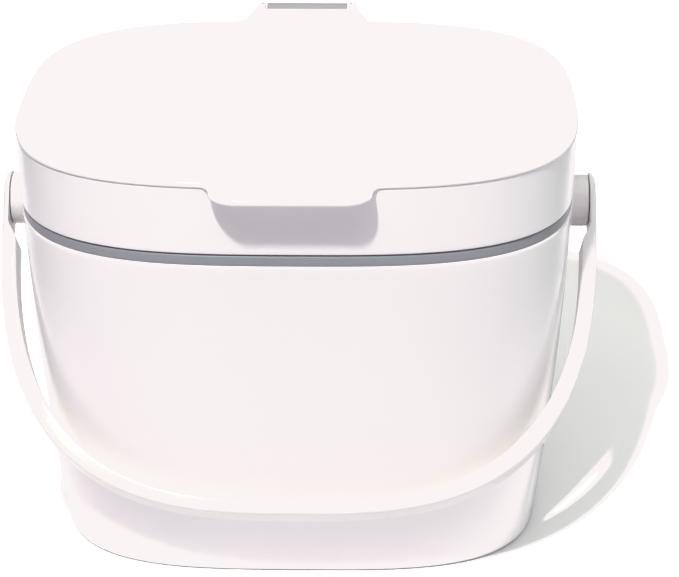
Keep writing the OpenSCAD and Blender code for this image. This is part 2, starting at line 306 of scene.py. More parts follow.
# ------------------------------------------------------------------ lid top: plate, finger lip and hinge tongue in one skin
def top_outline():
    lip = [(x, LIP_Y) for x in np.linspace(0, LIP_HW - 9.1, 9)[:-1]]
    lip += arc(LIP_HW - 9.1, LIP_Y + 9.1, 9.1, -90, 0, 40)
    lip += arc(LIP_HW + 3, LIP_Y + 9.1, 3, 180, 93.5, 14)[1:]
    dense = outline(LID_A, LID_B, LID_N, np.arange(3000) / 3000)
    side = dense[dense[:, 0] > 0]
    side = side[np.argsort(side[:, 1])]
    x_front, x_rear = LIP_HW + 3.6, 27.6
    side = side[~((side[:, 1] < 0) & (side[:, 0] < x_front))]
    side = side[~((side[:, 1] > 0) & (side[:, 0] < x_rear))]
    tongue = arc(27.31, 82.9, 4.4, -90, -166.5, 12)
    tongue += [(23.03 + (19.25 - 23.03) * t, 81.87 + (97.6 - 81.87) * t) for t in (0.2, 0.4, 0.6, 0.8)]
    tongue += arc(16.7, 97.9, 2.55, 2, 78, 8)
    tongue += [(16.25, 100.4), (16.2, 99.4), (16.2, 94.6)] + arc(15.0, 94.1, 1.2, 0, -90, 5) + [(14, 92.9), (8, 92.9), (3, 92.9)]
    half = np.vstack([lip, side, tongue])
    full = np.vstack([half, (half * [-1, 1])[::-1][:-1]])
    s = np.concatenate([[0], np.cumsum(np.hypot(*np.diff(np.vstack([full, full[:1]]), axis=0).T))])
    length = s[-1]
    # finer steps where the outline turns
    n0 = 6000
    p = resample(full, np.arange(n0) / n0)
    for _ in range(10):
        p = 0.25 * np.roll(p, 1, 0) + 0.5 * p + 0.25 * np.roll(p, -1, 0)
    d = np.roll(p, -1, 0) - p
    ang = np.unwrap(np.arctan2(d[:, 1], d[:, 0]))
    curv = np.abs(np.roll(ang, -1) - ang)
    curv[curv > 1] = 0
    curv = curv / (length / n0)
    ker = np.exp(-np.linspace(-2.5, 2.5, 41) ** 2)
    curv = np.convolve(np.concatenate([curv[-20:], curv, curv[:20]]), ker / ker.sum(), "valid")
    rho = 1 + 9 * np.clip(curv, 0, 0.5)
    c = np.concatenate([[0], np.cumsum(rho)])
    k = 760
    share = np.interp(np.arange(k) / k, c / c[-1], np.arange(n0 + 1) / n0)
    return resample(p, share)


def normals_of(p):
    t = np.roll(p, -1, 0) - np.roll(p, 1, 0)
    t /= np.linalg.norm(t, axis=1)[:, None]
    return np.column_stack([-t[:, 1], t[:, 0]])                # to the left of travel: inwards when counter-clockwise


def lip_dip(x, y):
    """How far the lid's top drops in the finger lip: a shallow dish."""
    v = np.clip((-77.4 - y) / 13.2, 0, 1)
    w = smooth((31.0 - np.abs(x)) / 4.0)
    return w * (1.55 * smooth(v / 0.34) - 0.7 * smooth((v - 0.34) / 0.66))


def lip_under(x, y):
    v = np.clip((-79.5 - y) / 11.1, 0, 1)
    w = smooth((31.0 - np.abs(x)) / 4.0)
    return w * 1.0 * smooth(v / 0.5)


def make_lid_top():
    p = top_outline()
    k = len(p)
    area = 0.5 * np.sum(p[:, 0] * np.roll(p[:, 1], -1) - np.roll(p[:, 0], -1) * p[:, 1])
    if area < 0:
        p = p[::-1]
    n = normals_of(p)
    # a generous edge on the plate and lip, a tighter one on the hinge tongue
    tight = smooth((p[:, 1] - 78.6) / 4.0) * (np.abs(p[:, 0]) < 30)
    rx = 1.75 * (1 - tight) + 0.7 * tight
    rz = 1.75 * (1 - tight) + 0.7 * tight
    rings, tops = [], []

    def ring(inset, zt=None, zb=None):
        q = p + n * (inset if np.ndim(inset) == 0 else inset[:, None])
        if zt is not None:
            z = TOP_Z - zt - lip_dip(q[:, 0], q[:, 1]) - 0.1 * tight
        else:
            z = PLATE_Z + zb - lip_under(q[:, 0], q[:, 1])
        rings.append(at_z(q, z))

    ring(3.0 - 1.8 * tight, zb=0.0)
    ring(0.55 + 0 * rx, zb=0.0)
    ring(0.3 + 0 * rx, zb=0.06)
    ring(0.1 + 0 * rx, zb=0.24)
    ring(0.02 + 0 * rx, zb=0.42)
    for q in np.radians(np.linspace(0, 90, 10)):
        ring(rx * (1 - math.cos(q)), zt=rz * (1 - math.sin(q)))
    ring(rx + 0.35, zt=0.0 * rx)
    ring(rx + 1.3 - 0.6 * tight, zt=0.0 * rx)
    m = len(rings)
    verts = [tuple(v) for v in np.vstack(rings)]
    faces = grid_faces(m, k)

    def cap(base, ring_xy, zf, flip):
        """Fills a ring with triangles over a grid of points that follow the surface."""
        pts = []
        poly = ring_xy
        gx = np.arange(-96, 96.1, 4.0)
        gy = np.arange(-92, 104, 4.0)
        cand = [(x, y) for x in gx for y in gy if not (abs(x) < 33 and y < -70)]
        cand += [(x, y) for x in np.arange(-32, 32.1, 1.6) for y in np.arange(-91, -69.9, 1.0)]
        cand = np.array(cand)
        # keep the points well inside the ring
        inside = np.zeros(len(cand), bool)
        j = len(poly) - 1
        for i in range(len(poly)):
            xi, yi = poly[i]
            xj, yj = poly[j]
            c = ((yi > cand[:, 1]) != (yj > cand[:, 1])) & (cand[:, 0] < (xj - xi) * (cand[:, 1] - yi) / (yj - yi + 1e-12) + xi)
            inside ^= c
            j = i
        near = np.array([np.min(np.hypot(*(poly - c).T)) if ins else 0 for c, ins in zip(cand, inside)])
        fine = (np.abs(cand[:, 0]) < 33) & (cand[:, 1] < -69)
        cand = cand[inside & (near > np.where(fine, 0.6, 1.6))]
        allp = [Vector(q) for q in poly] + [Vector(q) for q in cand]
        edges = [(i, (i + 1) % len(poly)) for i in range(len(poly))]
        vs, _, fs, ov, _, _ = delaunay_2d_cdt(allp, edges, [], 1, 1e-6)
        index = {}
        for i, src in enumerate(ov):
            s = min(src) if src else None
            if s is not None and s < len(poly):
                index[i] = base + s
            else:
                index[i] = len(verts)
                verts.append((vs[i][0], vs[i][1], zf(vs[i][0], vs[i][1])))
        for f in fs:
            g = [index[i] for i in f]
            faces.append(tuple(g[::-1] if flip else g))

    top = rings[-1][:, :2]
    cap((m - 1) * k, top, lambda x, y: TOP_Z - float(lip_dip(np.array(x), np.array(y))) - (0.1 if y > 82.6 else 0.1 * float(smooth((y - 78.6) / 4.0))), False)
    low = rings[0][:, :2]
    cap(0, low, lambda x, y: PLATE_Z - float(lip_under(np.array(x), np.array(y))), True)
    return verts, faces


def ear(x0, x1):
    """Knuckle round the hinge pin, drawn as a side profile with rounded rims."""
    zc, yc, r = HINGE_Z, HINGE_Y, 4.42
    top = TOP_Z - 0.14
    prof = [(y, top) for y in np.linspace(88, yc, 8)[:-1]]
    prof += [(yc + r * math.cos(t), zc + r * math.sin(t) + (top - zc - r) * max(0, math.sin(t))) for t in np.radians(np.linspace(90, -128, 40))]
    y_e, z_e = prof[-1]
    # concave web from the knuckle up to the plate's underside
    p0, p1, p2 = (y_e, z_e), (y_e - 2.6, z_e + 2.0), (88.0, PLATE_Z + 0.3)
    prof += [((1 - u) ** 2 * p0[0] + 2 * u * (1 - u) * p1[0] + u * u * p2[0], (1 - u) ** 2 * p0[1] + 2 * u * (1 - u) * p1[1] + u * u * p2[1])
             for u in np.linspace(0, 1, 12)[1:]]
    p = np.array(prof)
    a = 0.5 * np.sum(p[:, 0] * np.roll(p[:, 1], -1) - np.roll(p[:, 0], -1) * p[:, 1])
    if a < 0:
        p = p[::-1]
    return round_bar(p, x0, x1, 0.5)


def round_bar(p, x0, x1, r):
    """A closed (y, z) profile run from x0 to x1, with its two rims rounded by r."""
    n = normals_of(p)
    rings = []
    for side in (0, 1):
        qs = np.radians(np.linspace(0, 90, 5))
        seq = [(x0 + r * (1 - math.sin(q)), r * (1 - math.cos(q))) for q in qs][::-1] if side == 0 else [(x1 - r * (1 - math.sin(q)), r * (1 - math.cos(q))) for q in qs]
        # first ring: fully inset on the end face
        if side == 0:
            seq = [(x0 + r * (1 - math.cos(q)), r * (1 - math.sin(q))) for q in qs]
        else:
            seq = [(x1 - r * (1 - math.cos(q)), r * (1 - math.sin(q))) for q in qs][::-1]
        for x, d in seq:
            q = p + n * d
            rings.append(np.column_stack([np.full(len(p), x), q[:, 0], q[:, 1]]))
    m, k = len(rings), len(p)
    f = grid_faces(m, k) + [tuple(range(k)), tuple((m - 1) * k + i for i in range(k - 1, -1, -1))]
    return np.vstack(rings), f


def make_lid_top_piece():
    v, f = make_lid_top()
    body = plain("lid_top_plate", v, f, weld=0.0005)
    for x0, x1 in ((16.25, 19.2), (-19.2, -16.25)):
        ve, fe = ear(x0, x1)
        boolean(body, plain("ear", ve, fe), "UNION")
    # bore for the pin
    vb, m, k = lathe_x([(-17.9, 0.0), (-17.9, 1.52), (17.9, 1.52), (17.9, 0.0)], 40, (HINGE_Y, HINGE_Z))
    boolean(body, plain("bore", vb, grid_faces(m, k), weld=0.001), "DIFFERENCE")
    finish_piece(body, "lid", ["lid_top"], 35.0)
    return body


# ------------------------------------------------------------------ hinge bracket and pins
def from_node(name, node, body, bevel, segments=3, angle=30.0, dissolve=2.0):
    """A refined copy of a construction node: its flat faces made whole and its edges rounded."""
    src = frame["nodes"][node]
    o = bpy.data.objects.new(name, src.data.copy())
    COL.objects.link(o)
    bm = bmesh.new()
    bm.from_mesh(o.data)
    bmesh.ops.remove_doubles(bm, verts=bm.verts, dist=2e-6)
    bmesh.ops.dissolve_limit(bm, angle_limit=math.radians(dissolve), verts=bm.verts, edges=bm.edges)
    bmesh.ops.recalc_face_normals(bm, faces=bm.faces)
    bm.to_mesh(o.data)
    bm.free()
    m = o.modifiers.new("bevel", "BEVEL")
    m.width, m.segments, m.limit_method, m.angle_limit = bevel * MM, segments, "ANGLE", math.radians(angle)
    m.use_clamp_overlap = True
    apply_modifiers(o)
    for key in list(o.data.materials):
        pass
    o.data.materials.clear()
    finish_piece(o, body, [node], 30.0)
    return o


def turned(name, prof, node, body, centre, k=96, mirror=False, sharp=35.0):
    prof = [(-x, r) for x, r in prof] if mirror else prof
    v, m, k = lathe_x(prof, k, centre)
    return piece(name, v, grid_faces(m, k, loop=True), body, [node], sharp, weld=0.002)


def round_corner(cx, cy, r, a0, a1, n=5):
    return [(cx + r * math.cos(t), cy + r * math.sin(t)) for t in np.radians(np.linspace(a0, a1, n + 1))]


def make_hubs():
    out = []
    x0, x1 = RIM_A - 1.2, HUB_OUT
    for side, mirror in (("left", True), ("right", False)):
        prof = [(RIM_A - 2.95, 4.25), (RIM_A - 2.95, 5.4), (RIM_A - 2.85, 5.5), (x0, 5.5), (x0, HUB_R)]
        prof += [(x, HUB_R) for x in np.linspace(x0 + 1, x1 - 0.5, 5)]
        prof += round_corner(x1 - 0.5, HUB_R - 0.5, 0.5, 90, 0, 7)[1:]
        prof += [(x1, PIN_R + 0.5), (x1 - 0.1, PIN_R + 0.2), (x1 - 0.3, PIN_R + 0.05), (RIM_A + 1.8, PIN_R + 0.05), (RIM_A + 1.8, 4.2)]
        out.append(turned("hub_" + side, prof, "pivot_hub_" + side, "bin", (0.0, PIVOT_Z), 128, mirror))
    return out


def make_pins():
    out = []
    for side, mirror in (("left", True), ("right", False)):
        h = BAIL_HX - 0.2
        prof = [(RIM_A - 1.0, 0.0), (RIM_A - 1.0, PIN_R - 0.5), (RIM_A - 0.75, PIN_R - 0.1), (RIM_A - 0.3, PIN_R), (RIM_A - 0.2, PIN_R + 0.2)]
        prof += [(RIM_A + 0.1, PIN_R + 0.6), (RIM_A + 0.6, PIN_R + 0.7), (RIM_A + 1.1, PIN_R + 0.6), (RIM_A + 1.4, PIN_R + 0.3), (RIM_A + 1.4, PIN_R)]
        prof += [(BAIL_HX - 1.2, PIN_R), (BAIL_HX - 1.2, 5.0), (BAIL_HX - 1.1, 5.15)]
        prof += round_corner(h - 0.35, 5.15 - 0.35, 0.35, 90, 0, 4)
        prof += [(h, 3.6), (h - 0.08, 3.3), (h - 0.3, 3.1), (h - 0.34, 2.8), (h - 0.34, 0.0)]
        out.append(turned("pin_" + side, prof, "handle_pin_" + side, "handle", (0.0, PIVOT_Z), 96, mirror))
    return out


def make_hinge_pin():
    r = 1.5
    prof = [(-17.85, 0.0), (-17.85, r - 0.3), (-17.6, r), (17.6, r), (17.85, r - 0.3), (17.85, 0.0)]
    v, m, k = lathe_x(prof, 48, (HINGE_Y, HINGE_Z))
    return piece("hinge_rod", v, grid_faces(m, k), "lid" if body_of("hinge_pin") == "lid" else body_of("hinge_pin"), ["hinge_pin"], 35.0, weld=0.002)


def body_of(node):
    return frame["nodes"][node]["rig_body"]


# ------------------------------------------------------------------ bail handle
def make_handle():
    lean = math.radians(BAIL_LEAN)
    s_dir = np.array([0, -math.sin(lean), -math.cos(lean)])
    n_dir = np.array([0, -math.cos(lean), math.sin(lean)])
    piv = np.array([0, 0, PIVOT_Z])
    in_r, in_x, e = BAIL_R - STRAP_T, BAIL_HX - STRAP_T - 0.1, 2 / 2.9

    # stations down the right arm to the middle: (s, outer point, inner point)
    st = []
    for q in np.radians([3.2, 6, 10, 15, 21, 28, 36, 45, 54, 63, 72, 81]):
        s = -END_R * math.cos(q)
        st.append((s, (BAIL_HX, s), (BAIL_IN, s)))
    for s in np.concatenate([np.arange(0, 12, 1.2), np.arange(12, 26.1, 1.0)]):
        xo = BAIL_HX * (1 - (max(s, 1e-9) / BAIL_R) ** 2.9) ** (1 / 2.9)
        f = 1 - (1 - in_r / BAIL_R) * smooth((s - 4) / 22)
        si = s * f
        xi_bow = in_x * (1 - (max(si, 1e-9) / in_r) ** 2.9) ** (1 / 2.9)
        t = smooth((s - 11.0) / 8.0)
        st.append((s, (xo, s), (BAIL_IN * (1 - t) + xi_bow * t, si)))
    t0 = math.asin((26.0 / BAIL_R) ** (1 / e))
    # even steps along the bow
    tt = np.linspace(t0, math.pi / 2, 4000)
    xo, so = BAIL_HX * np.cos(tt) ** e, BAIL_R * np.sin(tt) ** e
    xo[-1] = 0.0
    L = np.concatenate([[0], np.cumsum(np.hypot(np.diff(xo), np.diff(so)))])
    g = np.interp(np.linspace(0, L[-1], 96)[1:], L, tt)
    for t in g:
        c = max(0.0, math.cos(t)) ** e if t < math.pi / 2 - 1e-9 else 0.0
        s_ = math.sin(t) ** e
        st.append((BAIL_R * s_, (BAIL_HX * c, BAIL_R * s_), (in_x * c, in_r * s_)))

    M = 30
    cosj = -np.cos(np.pi * np.arange(M + 1) / M)
    rings = []

    def section(s, O, I, along):
        O, I = np.array(O), np.array(I)
        T = np.linalg.norm(O - I)
        e1 = (O - I) / T
        if s < 2.4:
            W = math.sqrt(max(END_R ** 2 - min(s, 0) ** 2, 0)) if s <= 0 else math.sqrt(END_R ** 2 - s ** 2)
        else:
            line = STRAP_W / 2 + (END_R * 0.97 - STRAP_W / 2) * (26 - s) / (26 - 2.4)
            x = line - STRAP_W / 2
            W = STRAP_W / 2 + 0.5 * math.log1p(math.exp(min(40, x / 0.5))) if x < 6 else line
            W = min(W, math.sqrt(END_R ** 2 - 2.4 ** 2) if s < 3 else W)
        blend = float(smooth((s - 3) / 24))
        ru, rv = 4.4 * (1 - blend) + 1.3 * blend, 2.1 * (1 - blend) + 1.0 * blend
        qu, qv = 0.3 + 0.6 * blend, 0.25 + 0.55 * blend
        rv = min(rv, T - qv - 0.1)
        u = W * cosj
        if s < 0:
            d = END_R - np.sqrt(np.minimum(END_R ** 2, s * s + u * u))
        else:
            d = W - np.abs(u)
        d = np.maximum(d, 0)
        vo = T - rv * (1 - np.sqrt(np.clip(1 - ((ru - np.minimum(d, ru)) / ru) ** 2, 0, 1)))
        vi = qv * (1 - np.sqrt(np.clip(1 - ((qu - np.minimum(d, qu)) / qu) ** 2, 0, 1)))
        loop = [(u[j], vo[j]) for j in range(M + 1)]
        loop += [(u[M], vo[M] + (vi[M] - vo[M]) * t) for t in (0.25, 0.5, 0.75)]
        loop += [(u[j], vi[j]) for j in range(M, -1, -1)]
        loop += [(u[0], vi[0] + (vo[0] - vi[0]) * t) for t in (0.25, 0.5, 0.75)]
        pts = []
        for uu, vv in loop:
            q = I + e1 * vv
            pts.append(piv + np.array([along * q[0], 0, 0]) + s_dir * q[1] + n_dir * uu)
        return np.array(pts)

    for s, O, I in st:
        rings.append(section(s, O, I, 1))
    for s, O, I in st[::-1][1:]:
        rings.append(section(s, O, I, -1))
    m, k = len(rings), len(rings[0])
    f = grid_faces(m, k) + [tuple(range(k)), tuple((m - 1) * k + i for i in range(k - 1, -1, -1))]
    body = plain("bail_handle", np.vstack(rings), f, weld=0.0008)
    for sgn in (1, -1):
        prof = [(BAIL_IN - 2, 0.0), (BAIL_IN - 2, PIN_R + 0.02), (BAIL_HX - 1.2, PIN_R + 0.02), (BAIL_HX - 1.2, 5.25), (BAIL_HX + 2, 5.25), (BAIL_HX + 2, 0.0)]
        vb, mm, kk = lathe_x([(sgn * x, r) for x, r in prof], 96, (0.0, PIVOT_Z))
        boolean(body, plain("bore", vb, grid_faces(mm, kk), weld=0.001), "DIFFERENCE")
    finish_piece(body, "handle", ["handle"], 38.0)
    return body


# ------------------------------------------------------------------ materials
def nodes_of(name):
    m = bpy.data.materials.new(name)
    m.use_nodes = True
    nt = m.node_tree
    nt.nodes.clear()
    out = nt.nodes.new("ShaderNodeOutputMaterial")
    bsdf = nt.nodes.new("ShaderNodeBsdfPrincipled")
    nt.links.new(bsdf.outputs[0], out.inputs[0])
    return m, nt, bsdf


def noise(nt, vec, scale, detail=3.0, rough=0.5):
    n = nt.nodes.new("ShaderNodeTexNoise")
    n.inputs["Scale"].default_value = scale
    n.inputs["Detail"].default_value = detail
    n.inputs["Roughness"].default_value = rough
    nt.links.new(vec, n.inputs["Vector"])
    return n.outputs["Fac"]


def ranged(nt, value, a, b, lo=0.3, hi=0.7):
    r = nt.nodes.new("ShaderNodeMapRange")
    r.inputs["From Min"].default_value, r.inputs["From Max"].default_value = lo, hi
    r.inputs["To Min"].default_value, r.inputs["To Max"].default_value = a, b
    nt.links.new(value, r.inputs["Value"])
    return r.outputs["Result"]


def add(nt, a, b, op="ADD"):
    n = nt.nodes.new("ShaderNodeMath")
    n.operation = op
    nt.links.new(a, n.inputs[0])
    nt.links.new(b, n.inputs[1])
    return n.outputs[0]


def moulded(name, colour, rough, tone=0.012, peel=0.02, scuff=0.03, coat=0.0, offset=(0, 0, 0), stretch=(1, 1, 1), grain=0.0, coat_rough=0.06):
    """Injection-moulded plastic: faint flow tone, uneven gloss, orange peel and hairline scuffs."""
    m, nt, bsdf = nodes_of(name)
    co = nt.nodes.new("ShaderNodeTexCoord")
    mp = nt.nodes.new("ShaderNodeMapping")
    mp.inputs["Location"].default_value = offset
    mp.inputs["Scale"].default_value = stretch
    nt.links.new(co.outputs["Object"], mp.inputs["Vector"])
    v = mp.outputs["Vector"]
    flow = noise(nt, v, 14, 3, 0.5)
    ramp = nt.nodes.new("ShaderNodeValToRGB")
    ramp.color_ramp.elements[0].position, ramp.color_ramp.elements[1].position = 0.3, 0.7
    ramp.color_ramp.elements[0].color = (*[c * (1 - tone) for c in colour], 1)
    ramp.color_ramp.elements[1].color = (*[min(1, c * (1 + tone * 0.5)) for c in colour], 1)
    nt.links.new(flow, ramp.inputs["Fac"])
    nt.links.new(ramp.outputs["Color"], bsdf.inputs["Base Color"])
    # gloss: broad handling marks, fine grain and hairline scuffs
    broad = ranged(nt, noise(nt, v, 32, 5, 0.6), rough - 0.025, rough + 0.035)
    hair_map = nt.nodes.new("ShaderNodeMapping")
    hair_map.inputs["Rotation"].default_value = (0.5, 0.3, 0.7)
    hair_map.inputs["Scale"].default_value = (1500, 60, 60)
    nt.links.new(v, hair_map.inputs["Vector"])
    hair = ranged(nt, noise(nt, hair_map.outputs["Vector"], 1.0, 2, 0.5), 0, scuff, 0.66, 0.8)
    hair_map2 = nt.nodes.new("ShaderNodeMapping")
    hair_map2.inputs["Rotation"].default_value = (-0.4, 0.9, -0.5)
    hair_map2.inputs["Scale"].default_value = (60, 1300, 70)
    nt.links.new(v, hair_map2.inputs["Vector"])
    hair2 = ranged(nt, noise(nt, hair_map2.outputs["Vector"], 1.0, 2, 0.5), 0, scuff, 0.68, 0.82)
    nt.links.new(add(nt, add(nt, broad, hair), hair2), bsdf.inputs["Roughness"])
    # relief: orange peel plus an optional spark-eroded grain
    relief = ranged(nt, noise(nt, v, 420, 2, 0.5), 0, 1, 0.2, 0.8)
    if grain:
        relief = add(nt, relief, ranged(nt, noise(nt, v, 2600, 3, 0.6), 0, grain, 0.2, 0.8))
    bump = nt.nodes.new("ShaderNodeBump")
    bump.inputs["Strength"].default_value = peel
    bump.inputs["Distance"].default_value = 0.0001
    nt.links.new(relief, bump.inputs["Height"])
    nt.links.new(bump.outputs["Normal"], bsdf.inputs["Normal"])
    bsdf.inputs["IOR"].default_value = 1.49
    bsdf.inputs["Coat Weight"].default_value = coat
    bsdf.inputs["Coat Roughness"].default_value = coat_rough
    return m


def steel(name):
    m, nt, bsdf = nodes_of(name)
    co = nt.nodes.new("ShaderNodeTexCoord")
    mp = nt.nodes.new("ShaderNodeMapping")
    mp.inputs["Scale"].default_value = (40, 2200, 2200)
    nt.links.new(co.outputs["Object"], mp.inputs["Vector"])
    g = noise(nt, mp.outputs["Vector"], 1.0, 3, 0.6)
    ramp = nt.nodes.new("ShaderNodeValToRGB")
    ramp.color_ramp.elements[0].color = (0.5, 0.5, 0.52, 1)
    ramp.color_ramp.elements[1].color = (0.68, 0.68, 0.7, 1)
    nt.links.new(g, ramp.inputs["Fac"])
    nt.links.new(ramp.outputs["Color"], bsdf.inputs["Base Color"])
    nt.links.new(ranged(nt, g, 0.25, 0.42), bsdf.inputs["Roughness"])
    bsdf.inputs["Metallic"].default_value = 1.0
    return m


def give(o, m):
    o.data.materials.clear()
    o.data.materials.append(m)


WHITE = (0.93, 0.891, 0.887)
mat_bucket = moulded("white_gloss_bucket", WHITE, 0.17, coat=0.25, offset=(0.3, 0.1, 0.2), stretch=(1, 1, 0.6))
mat_lid = moulded("white_gloss_lid", WHITE, 0.2, coat=0.2, offset=(1.3, 0.4, 0.7), stretch=(0.8, 1, 1))
# painted shade: the top plate is the same white plastic as the bucket and skirt, given a darker white to offset the
# stronger light on its upward face
mat_top_painted_shade = moulded("white_gloss_top_painted_shade", (0.862, 0.825, 0.821), 0.2, coat=0.2, offset=(1.7, 0.9, 0.3), stretch=(0.8, 1, 1))
mat_liner = moulded("white_liner", (0.86, 0.83, 0.825), 0.32, tone=0.02, offset=(2.3, 1.4, 0.1))
# painted shade: the handle's white is darker than the bucket's to tone down the light on the bail's upward faces; its
# satin gloss is its own
mat_handle_painted_shade = moulded("white_satin_handle_painted_shade", (0.84, 0.81, 0.803), 0.34, offset=(0.9, 2.4, 1.1))
# painted shade: hubs and pins get a darker white than the bucket's, standing in for the shade on the right hub under
# the lid
mat_trim_painted_shade = moulded("white_trim", (0.85, 0.817, 0.812), 0.26, offset=(3.1, 0.2, 0.6))
mat_grey = moulded("grey_collar", (0.30, 0.30, 0.33), 0.36, tone=0.04, peel=0.05, scuff=0.05, offset=(0.2, 3.1, 0.9), grain=0.8)
mat_seal = moulded("grey_seal", (0.19, 0.19, 0.205), 0.62, tone=0.05, peel=0.08, scuff=0.04, offset=(1.2, 0.1, 1.9), grain=0.6)
mat_steel = steel("pin_steel")

give(make_bucket(), mat_bucket)
give(make_collar(), mat_grey)
give(make_skirt(), mat_lid)
give(make_liner(), mat_liner)
give(make_gasket(), mat_seal)
give(make_lid_top_piece(), mat_top_painted_shade)
give(from_node("hinge_arm", "hinge_bracket", "bin", 0.45), mat_grey)
for o in make_hubs() + make_pins():
    give(o, mat_trim_painted_shade)
give(make_hinge_pin(), mat_steel)
give(make_handle(), mat_handle_painted_shade)


# ------------------------------------------------------------------ floor, light and camera
TABLE_POWER, BOUNCE = 18.0, 0.46
GLOW_NEAR, GLOW_BACK, GLOW_SEEN = (0.18, 0.175, 0.18), (0.52, 0.505, 0.515), (1.60, 1.63, 1.63)
# colour of each part of the tent: (height band, side)
TENT = {
    ("top", ""): (1.64, 1.67, 1.60),
    ("low", "back"): (0.90, 0.95, 1.20),
    ("low", "front"): (0.85, 0.74, 1.07),
    ("low", "right"): (2.20, 2.36, 2.38),
    ("low", "left"): (0.66, 0.46, 0.74),
}
KEY_POWER, KEY_TINT = 4.0, (1.31, 1.40, 1.32)
# the camera's response: where each channel levels off over the whites, before the background's pure white
LEVEL = (0.956, 0.905, 0.905)
KNEE, FLAT, RISE, PURE, SPAN = 0.70, 0.93, 1.48, 1.58, 1.8


def maths(nt, op, *args):
    n = nt.nodes.new("ShaderNodeMath")
    n.operation = op
    for i, v in enumerate(args):
        if isinstance(v, (int, float)):
            n.inputs[i].default_value = v
        else:
            nt.links.new(v, n.inputs[i])
    return n.outputs[0]


def step_up(nt, value, lo, hi):
    r = nt.nodes.new("ShaderNodeMapRange")
    r.interpolation_type = "SMOOTHSTEP"
    r.inputs["From Min"].default_value, r.inputs["From Max"].default_value = lo, hi
    nt.links.new(value, r.inputs["Value"])
    return r.outputs["Result"]


def scaled(nt, colour, share, name=None):
    n = nt.nodes.new("ShaderNodeVectorMath")
    n.operation = "SCALE"
    n.inputs[0].default_value = colour
    if name:
        n.name = name
    nt.links.new(share, n.inputs["Scale"])
    return n.outputs[0]


def summed(nt, parts):
    total = parts[0]
    for p in parts[1:]:
        n = nt.nodes.new("ShaderNodeVectorMath")
        nt.links.new(total, n.inputs[0])
        nt.links.new(p, n.inputs[1])
        total = n.outputs[0]
    return total


